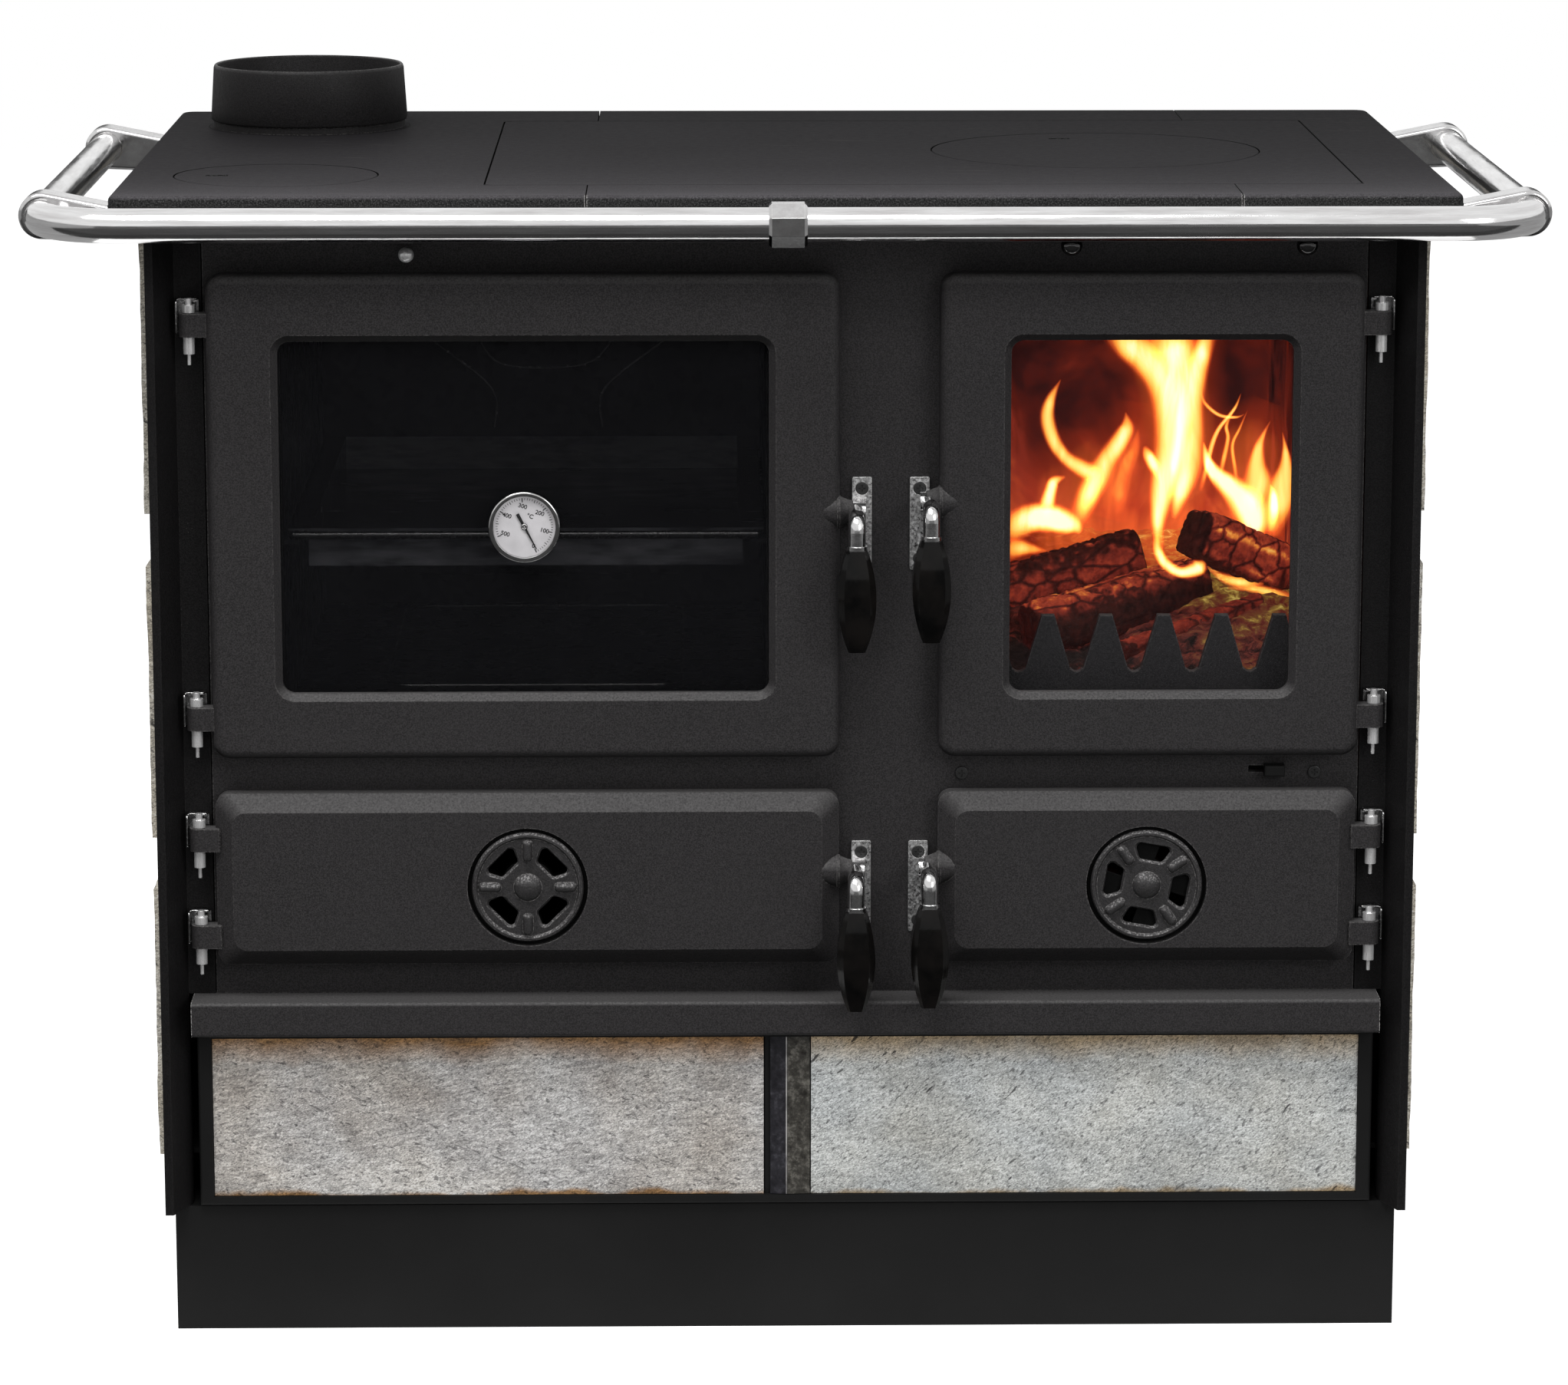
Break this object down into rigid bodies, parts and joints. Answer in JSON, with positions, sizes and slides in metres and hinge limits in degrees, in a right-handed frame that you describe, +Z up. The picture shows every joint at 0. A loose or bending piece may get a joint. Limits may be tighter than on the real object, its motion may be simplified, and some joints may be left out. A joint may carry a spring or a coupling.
{
  "type": "wood cookstove",
  "caption": "Cast-iron wood cookstove with glazed oven and firebox doors, a wood drawer, stone tile panels, lift-off hob lids, a flue collar and a hand rail round the hob.",
  "frame": {"origin": "on the floor under the middle of the stove's overall box", "axes": "+X to the right seen from the front, the front faces -Y, +Z up"},
  "size_m": [1.087, 0.6644, 0.899],
  "materials": {
    "cast_iron": "satin stove black",
    "hob_iron": "ground and oiled cast iron",
    "wheel_iron": "satin stove black",
    "black_sheet": "matt heat-proof black",
    "oven_enamel": "black enamel",
    "chrome": "polished",
    "aged_steel": "dull, unpolished",
    "black_screw": "blackened steel",
    "bakelite": "glossy black",
    "stone": "matt, fine grained",
    "firebrick": "matt fireclay",
    "dark_glass": "smoked",
    "clear_glass": "clear ceramic glass",
    "seal_rope": "woven glass-fibre rope",
    "dial_face": "matt white",
    "needle_black": "matt black"
  },
  "bodies": {
    "root": {"plinth": "black_sheet", "side_panels": "cast_iron", "side_tiles": "stone", "back_panel": "black_sheet", "front_frame": "cast_iron", "ledge": "cast_iron", "strike_plates": "chrome", "panel_screws": "black_screw", "hob_left_section": "hob_iron", "hob_right_section": "hob_iron", "hob_strips": "hob_iron", "hob_centre_plate": "hob_iron", "flue_collar": "hob_iron", "hand_rail": "chrome", "rail_brackets": "chrome", "hinge_brackets": "chrome", "hinge_pins": "chrome", "oven_box": "oven_enamel", "oven_rack": "chrome", "baking_tray": "oven_enamel", "firebox_bricks": "firebrick", "fire_grate": "cast_iron", "fuel_guard": "cast_iron", "lower_boxes": "black_sheet", "ash_pan": "black_sheet", "drawer_runners": "black_sheet"},
    "oven_door": {"oven_door_casting": "cast_iron", "oven_door_glass": "dark_glass", "oven_glass_clips": "chrome", "oven_door_seal": "seal_rope", "thermometer_case": "chrome", "thermometer_dial": "dial_face", "thermometer_lens": "clear_glass"},
    "thermometer_needle": {"thermometer_needle": "needle_black"},
    "firebox_door": {"firebox_door_casting": "cast_iron", "firebox_door_glass": "clear_glass", "firebox_glass_clips": "chrome", "firebox_door_seal": "seal_rope"},
    "lower_left_door": {"lower_left_door_casting": "cast_iron"},
    "ash_door": {"ash_door_casting": "cast_iron"},
    "oven_handle": {"oven_handle_lever": "chrome", "oven_handle_grip": "bakelite"},
    "firebox_handle": {"firebox_handle_lever": "chrome", "firebox_handle_grip": "bakelite"},
    "lower_left_handle": {"lower_left_handle_lever": "chrome", "lower_left_handle_grip": "bakelite"},
    "ash_handle": {"ash_handle_lever": "chrome", "ash_handle_grip": "bakelite"},
    "air_wheel_left": {"air_wheel_left": "wheel_iron"},
    "air_wheel_right": {"air_wheel_right": "wheel_iron"},
    "damper_pull": {"damper_pull": "chrome"},
    "air_pull_left": {"air_pull_left": "chrome"},
    "air_pull_right": {"air_pull_right": "chrome"},
    "air_lever": {"air_lever": "black_sheet"},
    "wood_drawer": {"drawer_front_frame": "black_sheet", "drawer_tiles": "stone", "drawer_centre_strip": "aged_steel", "drawer_box": "black_sheet"},
    "big_lid": {"big_lid": "hob_iron"},
    "small_lid": {"small_lid": "hob_iron"}
  },
  "joints": [
    {"name": "oven_door_hinge", "type": "hinge", "parent": "root", "child": "oven_door", "pos_m": [-0.428, -0.22275, 0.61225], "axis": [0, 0, -1], "range_deg": [0, 105]},
    {"name": "firebox_door_hinge", "type": "hinge", "parent": "root", "child": "firebox_door", "pos_m": [0.428, -0.22275, 0.61225], "axis": [0, 0, 1], "range_deg": [0, 105]},
    {"name": "lower_left_door_hinge", "type": "hinge", "parent": "root", "child": "lower_left_door", "pos_m": [-0.428, -0.22275, 0.3448], "axis": [0, 0, -1], "range_deg": [0, 105]},
    {"name": "ash_door_hinge", "type": "hinge", "parent": "root", "child": "ash_door", "pos_m": [0.428, -0.22275, 0.3448], "axis": [0, 0, 1], "range_deg": [0, 105]},
    {"name": "oven_handle_turn", "type": "hinge", "parent": "oven_door", "child": "oven_handle", "pos_m": [0.0386, -0.22575, 0.616], "axis": [-1, 0, 0], "range_deg": [0, 60]},
    {"name": "firebox_handle_turn", "type": "hinge", "parent": "firebox_door", "child": "firebox_handle", "pos_m": [0.1108, -0.22575, 0.623], "axis": [-1, 0, 0], "range_deg": [0, 60]},
    {"name": "lower_left_handle_turn", "type": "hinge", "parent": "lower_left_door", "child": "lower_left_handle", "pos_m": [0.0386, -0.22575, 0.3498], "axis": [-1, 0, 0], "range_deg": [0, 60]},
    {"name": "ash_handle_turn", "type": "hinge", "parent": "ash_door", "child": "ash_handle", "pos_m": [0.1108, -0.22575, 0.3523], "axis": [-1, 0, 0], "range_deg": [0, 60]},
    {"name": "thermometer_needle_turn", "type": "hinge", "parent": "oven_door", "child": "thermometer_needle", "pos_m": [-0.1886, -0.23615, 0.60745], "axis": [0, -1, 0], "range_deg": [0, 265]},
    {"name": "air_wheel_left_turn", "type": "hinge", "parent": "lower_left_door", "child": "air_wheel_left", "pos_m": [-0.1886, -0.23375, 0.3401], "axis": [0, -1, 0], "continuous": true},
    {"name": "air_wheel_right_turn", "type": "hinge", "parent": "ash_door", "child": "air_wheel_right", "pos_m": [0.2633, -0.23375, 0.3401], "axis": [0, -1, 0], "continuous": true},
    {"name": "damper_slide", "type": "slide", "parent": "root", "child": "damper_pull", "axis": [0, -1, 0], "range_m": [0, 0.08]},
    {"name": "air_pull_left_slide", "type": "slide", "parent": "root", "child": "air_pull_left", "axis": [0, -1, 0], "range_m": [0, 0.025]},
    {"name": "air_pull_right_slide", "type": "slide", "parent": "root", "child": "air_pull_right", "axis": [0, -1, 0], "range_m": [0, 0.025]},
    {"name": "air_lever_slide", "type": "slide", "parent": "root", "child": "air_lever", "axis": [-1, 0, 0], "range_m": [0, 0.015]},
    {"name": "drawer_slide", "type": "slide", "parent": "root", "child": "wood_drawer", "axis": [0, -1, 0], "range_m": [0, 0.4]},
    {"name": "big_lid_lift", "type": "slide", "parent": "root", "child": "big_lid", "axis": [0, 0, 1], "range_m": [0, 0.06]},
    {"name": "small_lid_lift", "type": "slide", "parent": "root", "child": "small_lid", "axis": [0, 0, 1], "range_m": [0, 0.06]}
  ]
}
